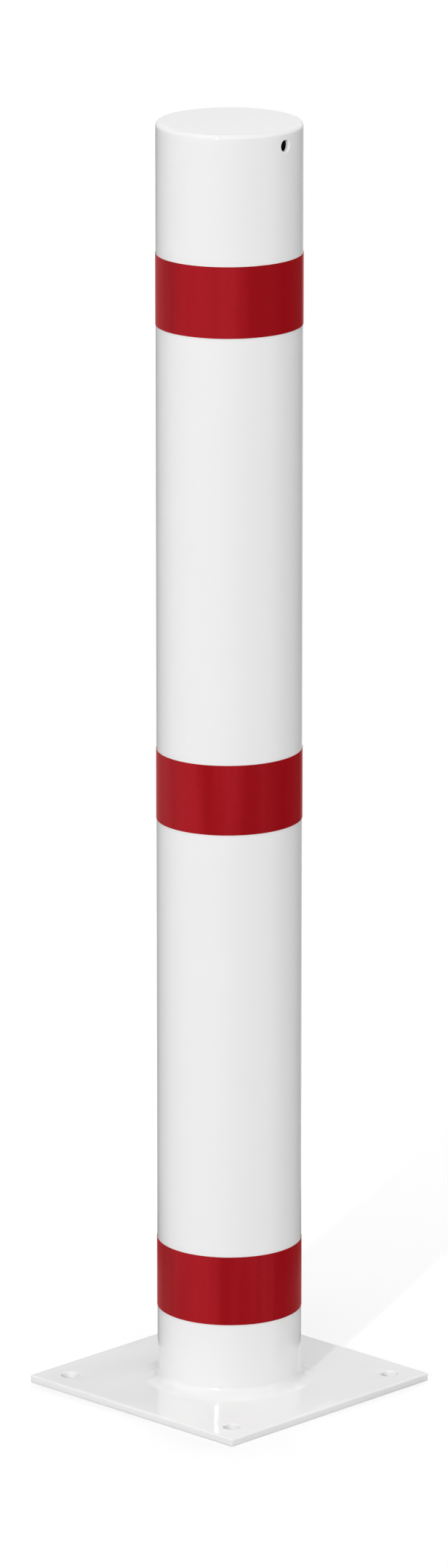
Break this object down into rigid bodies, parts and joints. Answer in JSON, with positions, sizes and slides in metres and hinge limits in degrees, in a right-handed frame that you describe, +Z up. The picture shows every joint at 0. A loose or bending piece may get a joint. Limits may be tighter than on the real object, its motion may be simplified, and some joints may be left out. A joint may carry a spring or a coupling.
{
  "type": "barrier post",
  "caption": "Round white coated steel post welded upright on a square bolt-down base plate, closed by a flat cap with a rounded rim and ringed by red reflective film bands.",
  "frame": {"origin": "centre of the base plate's underside, on the floor", "axes": "+Z up along the tube; X and Y along the base plate's sides; the vent hole faces +X"},
  "size_m": [0.2, 0.2, 0.91],
  "materials": {
    "white_coat": "gloss powder coat",
    "red_film": "reflective film"
  },
  "bodies": {
    "root": {"base_plate": "white_coat", "post_tube": "white_coat", "foot_weld": "white_coat", "top_cap": "white_coat", "cap_weld": "white_coat", "lower_band": "red_film", "middle_band": "red_film", "upper_band": "red_film"}
  },
  "joints": []
}
